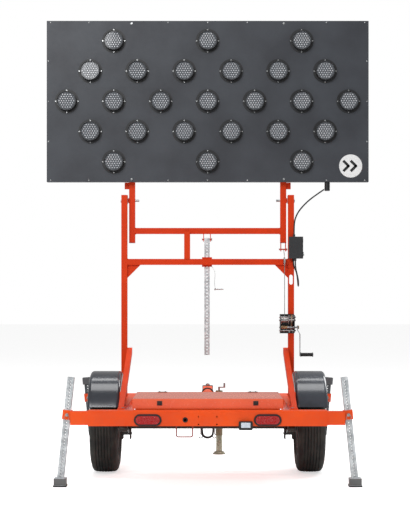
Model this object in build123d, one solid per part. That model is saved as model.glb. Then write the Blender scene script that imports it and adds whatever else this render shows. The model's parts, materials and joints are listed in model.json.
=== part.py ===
"""Arrow board trailer: tilting lamp board on a single-axle trailer with four outriggers."""

import os
from math import cos, pi, radians, sin, tan

from build123d import *

# Driving dimensions, millimetres. X across, +Y towards the hitch, Z up from the ground.
BOARD_W, BOARD_H, BOARD_DEEP, BOARD_BOTTOM = 2438.4, 1219.2, 62.0, 2136.0
BOARD_FACE_Y = 1178.0          # lamp face, forward of the bumper's rear face
SHEET = 3.0
LAMP_PITCH_Z = 228.6
LAMP_ROWS = ((-2, (0, 711.2)), (-1, (177.8, 533.4, 889.0)),
             (0, (0, 355.6, 711.2, 1066.8)),
             (1, (177.8, 533.4, 889.0)), (2, (0, 711.2)))
HOOD_R, HOOD_WALL, HOOD_OUT, LENS_OUT, EAR_R = 73.0, 4.0, 45.0, 33.0, 91.0
SCREW_PCD_R, SCREW_R = 83.0, 5.0
LENGTH, LAMP_PROUD = 2420.0, 30.0   # bumper face to coupler nose; plate lamp behind it
FRAME_Z, TUBE4, TUBE4_WALL = 408.4, 101.6, 6.0
BUMPER_HALF, CROSS_Y = 800.0, 1400.0
RAIL_W, RAIL_OUT = 50.8, 610.5
MAST_TUBE, MAST_WALL, POST_Y, POST_TOP = 45.0, 3.0, 1215.0, 2038.0
CROSSBAR_Z, TILT_BAR_Z, TILT_FOOT_Z = 1530.0, 1767.0, 1675.0
POST_GAP = 11.5                # between a post and the tilting upright inboard of it
PIVOT_Z, PIN_R, PIN_FIT = 1999.0, 9.5, 0.05
AXLE_Y, TYRE_R, TYRE_W, AXLE_Z = 770.0, 335.0, 198.0, 335.0
WHEEL_X = RAIL_OUT + 125.5
RIM_R, SPINDLE_R, SHOULDER_R, TYRE_WALL = 181.0, 17.5, 50.0, 14.0
SPRING_X = RAIL_OUT - 22.5
LEG, LEG_WALL, LEG_LEAN, LEG_PITCH, LEG_HOLE_R = 44.5, 2.8, 6.0, 20.0, 5.5
ARM, ARM_WALL, ARM_START = 88.9, 4.0, 505.0
SLEEVE, SLEEVE_H, SLEEVE_UP = 60.0, 63.0, 22.0
REAR_LEG_X, REAR_LEG_TOP, FOOT_H, FOOT_W = 944.0, 733.0, 57.0, 80.0
FRONT_LEG_X, FRONT_LEG_LOW, FRONT_LEG_TOP = 925.0, 190.0, 637.0
STOWED_FOOT_W, STOWED_FOOT_H = 66.0, 52.0   # the front legs travel upside down, foot uppermost
LOCK_X, LOCK_TUBE, LOCK_TOP, LOCK_LOW, LOCK_PIN_Z, LOCK_PITCH = -5.0, 41.0, 1714.0, 821.0, 1702.5, 25.4
BOX_HALF, BOX_Y0, BOX_Y1, BOX_Z1 = 490.0, 125.0, 690.0, 556.0
STRAP_T, BATTERY_H = 3.2, 155.0
LID_HALF, LID_Y0, LID_Y1, LID_TOP, LID_SKIRT = 508.0, 110.0, 705.0, 582.0, 68.0
FENDER_IN, FENDER_OUT = RAIL_OUT + 8, RAIL_OUT + 234.5
FENDER_R, FENDER_T = 393.0, 3.0
TONGUE_W, TONGUE_END = 76.2, 2250.0
NOSE_R, SOCKET_R, SOCKET_DEEP = 45.0, 25.8, 36.0   # coupler nose and its ball socket
JACK_X, JACK_Y, JACK_PIVOT_Z, JACK_R, JACK_IN_R = 92.0, 1780.0, 430.0, 28.5, 24.5
DRUM_Y, DRUM_Z, DRUM_R = 1118.0, 1090.0, 16.0
SHAFT_Y, SHAFT_Z = 1140.0, 1035.0
WINCH_X0, WINCH_X1 = RAIL_OUT - 64.5, RAIL_OUT + 43.5
GEAR_X = WINCH_X1 - 24
CRANK_X = WINCH_X1 + 24
CRANK_DROP, CRANK_BEND, GRIP_R, GRIP_L = 206.0, 18.0, 13.0, 95.0
SHEAVE_X = RAIL_OUT - 30.5
SHEAVE_Z, SHEAVE_R, ROPE_R = 1535.0, 22.0, 2.5
GEAR_R, PINION_R = 37.0, 18.0
CTRL_X0, CTRL_X1 = RAIL_OUT + 3, RAIL_OUT + 108.5
CTRL_Z0, CTRL_Z1, CTRL_DEEP = 1554.0, 1719.0, 68.0
CABLE_R, LEAD_R = 5.5, 5.5
GAP = 0.4                      # named clearance between pieces that move past each other

YB = (LAMP_PROUD - LENGTH) / 2  # bumper rear face in the part's own frame
FRAME_TOP = FRAME_Z + TUBE4
POST_X = RAIL_OUT + MAST_TUBE / 2
UP_X = RAIL_OUT - POST_GAP - MAST_TUBE / 2
BOARD_BACK = BOARD_FACE_Y + BOARD_DEEP
UP_Y = BOARD_BACK + MAST_TUBE / 2
BOX_Z0 = FRAME_Z + STRAP_T
SHEAVE_Y = DRUM_Y + DRUM_R + SHEAVE_R + 2 * ROPE_R   # so that the rope runs plumb
PARTS = {}


def at(x, y, z):
    """A place whose y counts forward from the bumper's rear face."""
    return Pos(x, YB + y, z)


def block(x0, x1, y0, y1, z0, z1):
    return at((x0 + x1) / 2, (y0 + y1) / 2, (z0 + z1) / 2) * Box(x1 - x0, y1 - y0, z1 - z0)


def rod(axis, r, length, x, y, z):
    """A round bar centred on a place, along X, Y or Z."""
    turn = {"X": Rot(0, 90, 0), "Y": Rot(90, 0, 0), "Z": Rot(0, 0, 0)}[axis]
    return at(x, y, z) * turn * Cylinder(r, length)


def pipe(axis, r_out, r_in, length, x, y, z):
    return rod(axis, r_out, length, x, y, z) - rod(axis, r_in, length + 2, x, y, z)


def square_tube(axis, size, wall, a, b, u, v, deep=None):
    """A square tube from a to b along an axis; u and v are the other two places in order."""
    deep = deep or size
    ends = {"X": (a, b, u - size / 2, u + size / 2, v - deep / 2, v + deep / 2),
            "Y": (u - size / 2, u + size / 2, a, b, v - deep / 2, v + deep / 2),
            "Z": (u - size / 2, u + size / 2, v - deep / 2, v + deep / 2, a, b)}[axis]
    k = "XYZ".index(axis)
    inner = list(ends)
    for i in range(3):
        grow = 1 if i == k else -wall
        inner[2 * i] -= grow
        inner[2 * i + 1] += grow
    return block(*ends) - block(*inner)


def both(make):
    """The left and the right copy of a piece."""
    return [make(-1), make(1)]


def side(s, a, b):
    return (s * a, s * b) if s > 0 else (s * b, s * a)


def flatten(item):
    """Every solid in nested lists of shapes."""
    if isinstance(item, (list, tuple)):
        for one in item:
            yield from flatten(one)
    else:
        yield from item.solids()


def add(name, *solids):
    """Put solids in a node, which may hold several pieces that are fixed together."""
    PARTS.setdefault(name, []).extend(flatten(solids))


def lamps():
    for row, xs in LAMP_ROWS:
        for x in sorted({k * v for v in xs for k in (-1, 1)}):
            yield x, BOARD_BOTTOM + BOARD_H / 2 + row * LAMP_PITCH_Z


def chassis():
    rail_x = RAIL_OUT - RAIL_W / 2
    mid = FRAME_Z + TUBE4 / 2
    add("chassis_rails", both(lambda s: square_tube(
        "Y", RAIL_W, 4, TUBE4, CROSS_Y, s * rail_x, mid, TUBE4)))
    rear = square_tube("X", TUBE4, TUBE4_WALL, -BUMPER_HALF, BUMPER_HALF, TUBE4 / 2, mid)
    for s in (-1, 1):
        rear -= at(s * 400, 0, FRAME_Z + 42) * Box(128, 30, 55)
        for e in (-1, 1):
            rear -= rod("Y", 27.5, 30, s * 400 + e * 64, 0, FRAME_Z + 42)
        for z in (FRAME_Z + 12, FRAME_Z + 62):
            rear -= rod("Y", 5, 30, s * 61.5, 0, z)
    rear -= rod("Y", 14, 30, -150, 0, FRAME_Z + 42)
    front = square_tube("X", TUBE4, TUBE4_WALL, -BUMPER_HALF, BUMPER_HALF,
                        CROSS_Y + TUBE4 / 2, mid)
    add("outrigger_tubes", rear, front)
    inner = RAIL_OUT - RAIL_W
    add("cross_members", [block(-inner, inner, y - 25, y + 25, FRAME_Z, FRAME_Z + STRAP_T)
                          for y in (200, 620)],
        square_tube("X", 50, 4, -inner, inner, POST_Y, mid))
    start = CROSS_Y + TUBE4
    add("tongue_tube", square_tube("Y", TONGUE_W, 5, start, TONGUE_END, 0, mid, TUBE4))
    gusset = [Pos(0, YB, mid - 3) * extrude(make_face(Polyline(
        (s * TONGUE_W / 2, start), (s * 200, start), (s * TONGUE_W / 2, start + 150),
        close=True)), 6) for s in (-1, 1)]
    add("tongue_tube", gusset)
    loop_x = 58.5 - 4.25
    path = FilletPolyline((-155 - loop_x, YB + 26, FRAME_Z), (-155 - loop_x, YB + 26, 334),
                          (-155 + loop_x, YB + 26, 334), (-155 + loop_x, YB + 26, FRAME_Z),
                          radius=14)
    add("rear_pull_handle", sweep(Plane(path @ 0, z_dir=(0, 0, -1)) * Circle(4.25), path=path))


def mast():
    def post(s):
        tube = square_tube("Z", MAST_TUBE, MAST_WALL, FRAME_Z, POST_TOP, s * POST_X, POST_Y)
        boss = block(*side(s, RAIL_OUT, RAIL_OUT + MAST_TUBE), POST_Y - MAST_TUBE / 2,
                     UP_Y + MAST_TUBE / 2, PIVOT_Z - 24, POST_TOP)
        boss -= rod("X", PIN_R + PIN_FIT, 90, s * POST_X, UP_Y, PIVOT_Z)
        slot = rod("Y", 15, 80, s * POST_X, POST_Y, 1372) + rod("Y", 15, 80, s * POST_X, POST_Y, 1418)
        slot += block(*side(s, POST_X - 15, POST_X + 15), POST_Y - 40, POST_Y + 40, 1372, 1418)
        return (tube + boss - slot) if s > 0 else tube + boss
    add("mast_posts", both(post))
    bar = square_tube("X", MAST_TUBE, MAST_WALL, -RAIL_OUT, RAIL_OUT, POST_Y, CROSSBAR_Z)
    low = CROSSBAR_Z - MAST_TUBE / 2
    gussets = [Plane.XZ.offset(-(YB + POST_Y - 3)) * extrude(make_face(Polyline(
        (s * RAIL_OUT, low), (s * (RAIL_OUT - 100), low), (s * RAIL_OUT, low - 100),
        close=True)), -6) for s in (-1, 1)]
    front = POST_Y + MAST_TUBE / 2
    guide = [block(LOCK_X - 38, LOCK_X + 38, front, front + 4, 1493.5, 1566.5)]
    guide += [block(LOCK_X + s * 35 - 3, LOCK_X + s * 35 + 3, front + 4, front + 52, 1493.5, 1566.5)
              for s in (-1, 1)]
    add("mast_crossbar", bar, gussets)
    add("mast_crossbar", guide[0] + guide[1] + guide[2])
    stop_y = POST_Y - 8
    top = CROSSBAR_Z + MAST_TUBE / 2
    stop = square_tube("Z", MAST_TUBE, MAST_WALL, top, 1760, -156, stop_y)
    pad = block(-174, -138, stop_y + MAST_TUBE / 2, BOARD_BACK - GAP, 1748, 1759)
    add("stop_post", stop)
    add("stop_post", pad)

    def brace(s):
        top_z, foot_y = 880.0, 255.0
        run = POST_Y - MAST_TUBE / 2 - foot_y
        rise = top_z - FRAME_TOP - 6
        line = Plane.YZ.offset(s * (RAIL_OUT - 19.5) - 19) * extrude(make_face(Polyline(
            (YB + foot_y - 55, FRAME_TOP + 6), (YB + foot_y + 55, FRAME_TOP + 6),
            (YB + foot_y + run, top_z - 46), (YB + foot_y + run, top_z), close=True)), 38)
        hollow = Plane.YZ.offset(s * (RAIL_OUT - 19.5) - 16) * extrude(make_face(Polyline(
            (YB + foot_y - 35, FRAME_TOP + 9), (YB + foot_y + 49, FRAME_TOP + 9),
            (YB + foot_y + run - 4, top_z - 45), (YB + foot_y + run - 4, top_z - 10),
            close=True)), 32)
        return [line - hollow, block(*side(s, RAIL_OUT - 48.5, RAIL_OUT), TUBE4 + 10, 370, FRAME_TOP, FRAME_TOP + 6)]
    add("mast_braces", both(brace))
    add("pins_and_bolts", both(lambda s: rod("X", PIN_R, 140, s * (POST_X - 40), UP_Y, PIVOT_Z)
                           + rod("X", 15, 9, s * (RAIL_OUT + MAST_TUBE + 4.5), UP_Y, PIVOT_Z)))


def tilt_frame():
    def upright(s):
        tube = square_tube("Z", MAST_TUBE, MAST_WALL, TILT_FOOT_Z, BOARD_BOTTOM + BOARD_H - 8,
                           s * UP_X, UP_Y)
        boss = rod("X", 20, MAST_TUBE + 8, s * (UP_X + 4), UP_Y, PIVOT_Z)
        ear = block(*side(s, UP_X + MAST_TUBE / 2, UP_X + MAST_TUBE / 2 + 35),
                    UP_Y - 4, UP_Y + 4, 2086, BOARD_BOTTOM)
        return tube + boss + ear - rod("X", PIN_R + PIN_FIT, 80, s * UP_X, UP_Y, PIVOT_Z)
    edge = UP_X - MAST_TUBE / 2
    add("tilt_frame", both(upright))
    add("tilt_frame", square_tube("X", MAST_TUBE, MAST_WALL, -edge, edge, UP_Y, TILT_BAR_Z))
    low = TILT_BAR_Z - MAST_TUBE / 2
    ears = [block(LOCK_X + s * 26 - 3, LOCK_X + s * 26 + 3, UP_Y - 17, UP_Y + 17,
                  LOCK_PIN_Z - 16, low) for s in (-1, 1)]
    clevis = [ear - rod("X", 5, 20, LOCK_X + s * 26, UP_Y, LOCK_PIN_Z)
              for s, ear in zip((-1, 1), ears)]
    rope = [block(UP_X + s * 18 - 3, UP_X + s * 18 + 3, UP_Y - 16, UP_Y + 16,
                  1612, TILT_FOOT_Z) - rod("X", 5, 90, UP_X, UP_Y, 1627) for s in (-1, 1)]
    add("tilt_frame", clevis, rope)
    add("tilt_frame", rod("X", 5, 74, LOCK_X, UP_Y, LOCK_PIN_Z),
        rod("X", 5, 60, UP_X, UP_Y, 1627))
    bar = square_tube("Z", LOCK_TUBE, 2.5, LOCK_LOW, LOCK_TOP, LOCK_X, UP_Y)
    holes = [rod("Y", 5.6, 60, LOCK_X, UP_Y, LOCK_LOW + 13 + k * LOCK_PITCH) for k in range(34)]
    bar -= holes
    bar -= rod("X", 5 + PIN_FIT, 60, LOCK_X, UP_Y, LOCK_PIN_Z)
    add("lock_bar", bar)


def board():
    pan = block(-BOARD_W / 2, BOARD_W / 2, BOARD_FACE_Y, BOARD_BACK, BOARD_BOTTOM, BOARD_BOTTOM + BOARD_H)
    t = SHEET
    pan -= block(t - BOARD_W / 2, BOARD_W / 2 - t, BOARD_FACE_Y + t, BOARD_BACK + 1,
                 BOARD_BOTTOM + t, BOARD_BOTTOM + BOARD_H - t)
    add("display_panel", pan)
    add("display_panel", block(t - BOARD_W / 2, BOARD_W / 2 - t, BOARD_BACK - t, BOARD_BACK,
                              BOARD_BOTTOM + t, BOARD_BOTTOM + BOARD_H - t))
    hoods, lenses, screws = [], [], []
    for x, z in lamps():
        hood = pipe("Y", HOOD_R, HOOD_R - HOOD_WALL, HOOD_OUT, x, BOARD_FACE_Y - HOOD_OUT / 2, z)
        ring = pipe("Y", EAR_R, HOOD_R - HOOD_WALL, 2, x, BOARD_FACE_Y - 1, z)
        hoods.append(hood + ring)
        lenses.append(rod("Y", HOOD_R - HOOD_WALL - 0.2, LENS_OUT, x, BOARD_FACE_Y - LENS_OUT / 2, z))
        for k in range(4):
            a = k * pi / 2
            screws.append(rod("Y", SCREW_R, 3, x + SCREW_PCD_R * cos(a), BOARD_FACE_Y - 3.5,
                              z + SCREW_PCD_R * sin(a)))
    add("lamp_hoods", hoods)
    add("lamp_lenses", lenses)
    add("panel_bolts", screws)
    add("panel_bolts", [rod("Y", 8, 6, s * UP_X, BOARD_FACE_Y - 3, z) for s in (-1, 1)
                        for z in (BOARD_BOTTOM + 20, BOARD_BOTTOM + BOARD_H - 20)])
    add("display_connector", rod("Z", 20, 66, 908, BOARD_FACE_Y + 31, BOARD_BOTTOM - 33))


def wheels():
    for s, name in ((-1, "left"), (1, "right")):
        half, grooves = TYRE_W / 2, (-44, -22, 0, 22, 44)
        crown = TYRE_R - 6
        tyre = Pos(-half, 0, 0) * Rot(0, 90, 0) * Cylinder(TYRE_R, TYRE_W, align=(
            Align.CENTER, Align.CENTER, Align.MIN))
        tyre = fillet(tyre.edges().filter_by(GeomType.CIRCLE), SHOULDER_R)
        tyre -= Rot(0, 90, 0) * Cylinder(RIM_R + 0.5, TYRE_W + 2)
        tyre -= Rot(0, 90, 0) * Cylinder(RIM_R + 95, TYRE_W - 2 * TYRE_WALL)
        for g in grooves:
            tyre -= Pos(g, 0, 0) * Rot(0, 90, 0) * (Cylinder(TYRE_R + 5, 6) - Cylinder(crown - 3, 8))
        place = at(s * WHEEL_X, AXLE_Y, AXLE_Z)
        add(f"{name}_tyre", place * tyre)
        rim = Rot(0, 90, 0) * (Cylinder(RIM_R, 165) - Cylinder(RIM_R - 5, 170))
        for e in (-1, 1):
            rim += Pos(e * 79, 0, 0) * Rot(0, 90, 0) * (Cylinder(RIM_R + 9, 7) - Cylinder(RIM_R - 5, 8))
        disc = Pos(s * 12, 0, 0) * Rot(0, 90, 0) * (Cylinder(RIM_R - 3, 5) - Cylinder(42, 8))
        for k in range(5):
            a = radians(90 + 72 * k)
            disc -= Pos(s * 12, 57.15 * cos(a), 57.15 * sin(a)) * Rot(0, 90, 0) * Cylinder(6.5, 12)
            b = a + radians(36)
            disc -= Pos(s * 12, 118 * cos(b), 118 * sin(b)) * Rot(0, 90, 0) * Cylinder(19, 12)
        add(f"{name}_wheel", place * (rim + disc))
        hub = Rot(0, 90, 0) * (Cylinder(41.5, 92) - Cylinder(SPINDLE_R + PIN_FIT, 94))
        hub += Pos(s * (12 - 8.5), 0, 0) * Rot(0, 90, 0) * (Cylinder(72, 12) - Cylinder(40, 14))
        studs = [Pos(s * 22, 57.15 * cos(radians(90 + 72 * k)), 57.15 * sin(radians(90 + 72 * k)))
                 * Rot(0, 90, 0) * Cylinder(6.2, 22) for k in range(5)]
        cap = Pos(s * 50, 0, 0) * Rot(0, 90, 0) * Cylinder(30, 8)
        add(f"{name}_wheel", place * (hub + studs + cap))
    beam = 2 * (RAIL_OUT + 29.5)
    axle = rod("X", 25, beam, 0, AXLE_Y, AXLE_Z)
    axle += rod("X", SPINDLE_R, 2 * (WHEEL_X + 44), 0, AXLE_Y, AXLE_Z)
    add("axle", axle)
    leaves, hangers, clamps = [], [], []
    for s in (-1, 1):
        for k, half in enumerate((330, 250, 175, 100)):
            z = AXLE_Z - 26 - 7.2 * k
            sag = 40 * (half / 330) ** 2
            leaf = Plane.YZ.offset(s * SPRING_X - 22) * extrude(make_face(Curve() + [
                ThreePointArc((YB + AXLE_Y - half, z + sag), (YB + AXLE_Y, z), (YB + AXLE_Y + half, z + sag)),
                Line((YB + AXLE_Y + half, z + sag), (YB + AXLE_Y + half, z + sag - 7)),
                ThreePointArc((YB + AXLE_Y + half, z + sag - 7), (YB + AXLE_Y, z - 7),
                              (YB + AXLE_Y - half, z + sag - 7)),
                Line((YB + AXLE_Y - half, z + sag - 7), (YB + AXLE_Y - half, z + sag))]), 44)
            leaves.append(leaf)
        for e in (-1, 1):
            y = AXLE_Y + e * 347
            leaves.append(pipe("X", 17, 9, 44, s * SPRING_X, y, AXLE_Z + 12))
            hangers += [block(s * SPRING_X + f * 26 - 3, s * SPRING_X + f * 26 + 3, y - 25, y + 25,
                              AXLE_Z - 10, FRAME_Z) - rod("X", 9, 80, s * SPRING_X, y, AXLE_Z + 12)
                        for f in (-1, 1)]
            hangers.append(rod("X", 8.9, 66, s * SPRING_X, y, AXLE_Z + 12))
        low = AXLE_Z - 26 - 7.2 * 4
        clamps.append(block(s * SPRING_X - 38, s * SPRING_X + 38, AXLE_Y - 45, AXLE_Y + 45, low - 10, low - 0.5))
        clamps += [rod("Z", 5, 130, s * SPRING_X + f * 28.5, AXLE_Y + e * 32, low + 22)
                   for f in (-1, 1) for e in (-1, 1)]
    add("leaf_springs", leaves)
    add("spring_mounts", hangers)
    add("spring_mounts", clamps)


def fenders():
    def fender(s):
        mid, half = (FENDER_IN + FENDER_OUT) / 2, (FENDER_OUT - FENDER_IN) / 2
        outer = Cylinder(FENDER_R, 2 * half)
        outer = fillet(outer.edges().filter_by(GeomType.CIRCLE), 24)
        inner = fillet(Cylinder(FENDER_R - FENDER_T, 2 * half - 2 * FENDER_T).edges()
                       .filter_by(GeomType.CIRCLE), 22)
        shell = outer - inner - Cylinder(TYRE_R - 10, 2 * half + 4)
        cut = 498.0 - AXLE_Z
        shell = Rot(0, 90, 0) * shell
        shell -= Pos(0, 0, cut - 500) * Box(900, 900, 1000)
        return at(s * mid, AXLE_Y, AXLE_Z) * shell
    add("fenders", both(fender))
    add("chassis_rails", [block(*side(s, RAIL_OUT, RAIL_OUT + 6), AXLE_Y + e * 300 - 30,
                                  AXLE_Y + e * 300 + 30, FRAME_Z + 20, 600)
                            for s in (-1, 1) for e in (-1, 1)])


def battery_bay():
    t = SHEET
    tub = block(-BOX_HALF, BOX_HALF, BOX_Y0, BOX_Y1, BOX_Z0, BOX_Z1)
    tub -= block(t - BOX_HALF, BOX_HALF - t, BOX_Y0 + t, BOX_Y1 - t, BOX_Z0 + t, BOX_Z1 + 1)
    add("battery_box", tub)
    lid = block(-LID_HALF, LID_HALF, LID_Y0, LID_Y1, LID_TOP - LID_SKIRT, LID_TOP)
    lid -= block(t - LID_HALF, LID_HALF - t, LID_Y0 + t, LID_Y1 - t, LID_TOP - LID_SKIRT - 1, LID_TOP - t)
    add("battery_lid", lid)
    hinge_y, hinge_z = LID_Y1 + 6, LID_TOP - LID_SKIRT
    add("battery_lid", [rod("X", 5, 70, s * 325, hinge_y, hinge_z) for s in (-1, 1)])
    add("batteries", [block(x - 85, x + 85, 240, 575, BOX_Z0 + t, BOX_Z0 + t + BATTERY_H)
                      for x in (-330, -110, 110, 330)])


def lamps_and_bumper():
    z = FRAME_Z + 41
    grommets, lenses = [], []
    for s in (-1, 1):
        slot = Plane.XZ * SlotOverall(184, 78)
        hole = Plane.XZ * SlotOverall(161, 57)
        grommets.append(at(s * 400, 0, z) * (extrude(slot, 8) - extrude(hole, 9, both=True)))
        lenses.append(at(s * 400, 0, z) * extrude(Plane.XZ * SlotOverall(160, 56), 12))
    add("tail_light_grommets", grommets, pipe("Y", 17, 10, 5, -150, -2.5, FRAME_Z + 42))
    add("tail_light_lenses", lenses)
    lamp = block(206.5, 299.5, -LAMP_PROUD, 0, FRAME_Z - 24, FRAME_Z + 34)
    add("plate_lamp", fillet(lamp.edges().filter_by(Axis.Y), 10))
    add("pins_and_bolts", [rod("Z", 9, 6, s * (RAIL_OUT - 36.5), y, FRAME_TOP + 9) for s in (-1, 1) for y in (140, 345)])


def coupler():
    z0, w = FRAME_Z + 18, 66.0
    nose_y = LENGTH - NOSE_R
    top, roof = FRAME_TOP - 4, z0 + SOCKET_DEEP
    cap = block(-w / 2, w / 2, TONGUE_END, nose_y, roof, top)
    cap += rod("Z", NOSE_R, top - roof, 0, nose_y, (top + roof) / 2)
    socket = rod("Z", SOCKET_R, 3 * SOCKET_DEEP, 0, nose_y, z0)
    ahead = block(-NOSE_R, NOSE_R, nose_y, nose_y + NOSE_R, z0, roof)
    skirt = rod("Z", NOSE_R, SOCKET_DEEP, 0, nose_y, (roof + z0) / 2) - socket
    clamp = skirt - ahead + block(-w / 2, w / 2, TONGUE_END, nose_y, z0, roof)
    add("coupler", cap, skirt & ahead, clamp - socket)
    hinge = (TONGUE_END + 40, FRAME_TOP + 8)
    lever = block(-9, 9, hinge[0] - 10, hinge[0] + 95, hinge[1] - 6, hinge[1] + 6)
    lever -= rod("X", 4 + PIN_FIT, 40, 0, *hinge)
    lugs = [block(s * 13 - 3, s * 13 + 3, hinge[0] - 12, hinge[0] + 12, FRAME_TOP - 4, hinge[1] + 8)
            - rod("X", 4, 8, s * 13, *hinge) for s in (-1, 1)]
    add("coupler_latch", lever)
    add("coupler", lugs, rod("X", 4, 32, 0, *hinge))


def winch():
    back = POST_Y - MAST_TUBE / 2
    plate = block(WINCH_X0, WINCH_X1, back - 4, back, 988, 1134)
    cheeks = [block(x, x + 4, 1080, back - 4, 995, 1128)
              - rod("X", 9 + PIN_FIT, 20, x, DRUM_Y, DRUM_Z)
              - rod("X", 8 + PIN_FIT, 20, x, SHAFT_Y, SHAFT_Z) for x in (WINCH_X0, WINCH_X1 - 4)]
    add("winch_frame", plate + cheeks[0] + cheeks[1])
    reel = rod("X", 9, 124, WINCH_X0 + 54, DRUM_Y, DRUM_Z)
    reel += rod("X", DRUM_R, 60, WINCH_X0 + 36, DRUM_Y, DRUM_Z)
    for x in (WINCH_X0 + 8, WINCH_X0 + 62):
        reel += rod("X", 31, 3, x, DRUM_Y, DRUM_Z)
    add("winch_drum", reel)
    add("winch_drum", pipe("X", GEAR_R, 9, 10, GEAR_X, DRUM_Y, DRUM_Z))
    shaft = rod("X", 8, CRANK_X - WINCH_X0 + 12, (CRANK_X + WINCH_X0) / 2, SHAFT_Y, SHAFT_Z)
    shaft += rod("X", PINION_R, 10, GEAR_X, SHAFT_Y, SHAFT_Z)
    arm = Plane.XZ.offset(-(YB + SHAFT_Y - 11)) * extrude(make_face(Polyline(
        (CRANK_X - 3, SHAFT_Z + 14), (CRANK_X + 3, SHAFT_Z + 14), (CRANK_X + 3, SHAFT_Z - 22),
        (CRANK_X + CRANK_BEND + 3, SHAFT_Z - 52), (CRANK_X + CRANK_BEND + 3, SHAFT_Z - CRANK_DROP - 11),
        (CRANK_X + CRANK_BEND - 3, SHAFT_Z - CRANK_DROP - 11), (CRANK_X + CRANK_BEND - 3, SHAFT_Z - 50),
        (CRANK_X - 3, SHAFT_Z - 20), close=True)), -22)
    pin_z = SHAFT_Z - CRANK_DROP
    grip_x = CRANK_X + CRANK_BEND + 4
    stub = rod("X", 6, GRIP_L + 4, grip_x + GRIP_L / 2, SHAFT_Y, pin_z)
    add("winch_crank", shaft + arm + stub)
    grip = rod("X", GRIP_R, GRIP_L, grip_x + GRIP_L / 2, SHAFT_Y, pin_z)
    for x in (grip_x + 3.5, grip_x + GRIP_L - 3.5):
        grip += rod("X", GRIP_R + 3, 7, x, SHAFT_Y, pin_z)
    add("winch_grip", grip - rod("X", 6 + PIN_FIT, GRIP_L + 9, grip_x + GRIP_L / 2, SHAFT_Y, pin_z))
    wheel = rod("X", SHEAVE_R + 6, 12, SHEAVE_X, SHEAVE_Y, SHEAVE_Z)
    wheel -= pipe("X", SHEAVE_R + 8, SHEAVE_R, 6, SHEAVE_X, SHEAVE_Y, SHEAVE_Z)
    add("sheave", wheel - rod("X", 5 + PIN_FIT, 20, SHEAVE_X, SHEAVE_Y, SHEAVE_Z))
    forks = [block(SHEAVE_X + s * 10 - 2, SHEAVE_X + s * 10 + 2, SHEAVE_Y - 12, back,
                   SHEAVE_Z - 14, SHEAVE_Z + 14) for s in (-1, 1)]
    add("mast_crossbar", forks[0] + forks[1] + rod("X", 5, 26, SHEAVE_X, SHEAVE_Y, SHEAVE_Z))
    line_y = SHEAVE_Y - SHEAVE_R - ROPE_R
    pts = [(SHEAVE_X, YB + line_y, DRUM_Z), (SHEAVE_X, YB + line_y, SHEAVE_Z + 8),
           (SHEAVE_X, YB + SHEAVE_Y - 6, SHEAVE_Z + 42), (SHEAVE_X, YB + UP_Y - 8, 1627)]
    path = FilletPolyline(*pts, radius=14)
    add("winch_rope", sweep(Plane(path @ 0, z_dir=(0, 0, 1)) * Circle(ROPE_R), path=path))


def cord(points, r, name):
    """A cord's tube: straight runs joined by arcs as large as the runs allow."""
    pts = [Vector(x, YB + y, z) for x, y, z in points]
    radii = []
    for a, b, c in zip(pts, pts[1:], pts[2:]):
        turn = radians((b - a).get_angle(c - b))
        radii.append(0.45 * min((b - a).length, (c - b).length) / tan(turn / 2))
    path = FilletPolyline(*pts, radius=radii)
    tube = sweep(Plane(path @ 0, z_dir=path % 0) * Circle(r), path=path)
    print(name, "length", round(path.length), "radii", [round(v) for v in radii])
    add(name, tube)


def controls():
    back, t = POST_Y - MAST_TUBE / 2, SHEET
    front, door_t = back - CTRL_DEEP, 8.0
    x1 = CTRL_X1 - door_t - GAP
    case = block(CTRL_X0, x1, front, back, CTRL_Z0, CTRL_Z1)
    case -= block(CTRL_X0 + t, x1 + 1, front + t, back - t, CTRL_Z0 + t, CTRL_Z1 - t)
    mid = front + CTRL_DEEP / 2
    glands = [(653, mid, CTRL_Z1, 1), (649, back - 16, CTRL_Z0, -1), (661, front + 14, CTRL_Z0, -1)]
    add("control_box", case)
    door = block(CTRL_X1 - door_t, CTRL_X1, front, back, CTRL_Z0, CTRL_Z1)
    for z in (CTRL_Z0 + 30, CTRL_Z1 - 30):
        door += rod("Z", 3, 26, CTRL_X1, back, z)
    add("control_door", door)
    add("charge_controller", block(CTRL_X0 + 12, CTRL_X0 + 52, front + 12, back - t, 1600, 1680))
    add("control_box", [rod("Z", 9, 18, x, y, z + s * 9) for x, y, z, s in glands])
    top = CTRL_Z1 + 18
    cord([(884, 1209, 2080), (829, 1206, 2043), (762, 1198, 1993), (705, 1186, 1934),
          (673, 1172, 1886), (657, 1162, 1838), (653, mid, 1790), (653, mid, top)],
         CABLE_R, "display_cable")
    low = CTRL_Z0 - 18
    cord([(649, back - 16, low), (649, back - 16, 1500), (671, 1181, 1460), (681, 1208, 1418),
          (685, 1208, 1377), (685, 1176, 1347), (684, 1128, 1347), (681, 1092, 1386), (671, 1104, 1440),
          (661, front + 14, 1492), (661, front + 14, low)], CABLE_R, "power_lead")


def leg_holes(low, high):
    """Round holes through both pairs of walls, up the leg's own line."""
    cuts = []
    for k in range(int((high - low) / LEG_PITCH)):
        z = low + LEG_PITCH * (k + 0.5)
        cuts.append(Pos(0, 0, z) * Rot(90, 0, 0) * Cylinder(LEG_HOLE_R, 80))
        cuts.append(Pos(0, 0, z) * Rot(0, 90, 0) * Cylinder(LEG_HOLE_R, 80))
    return cuts


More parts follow.
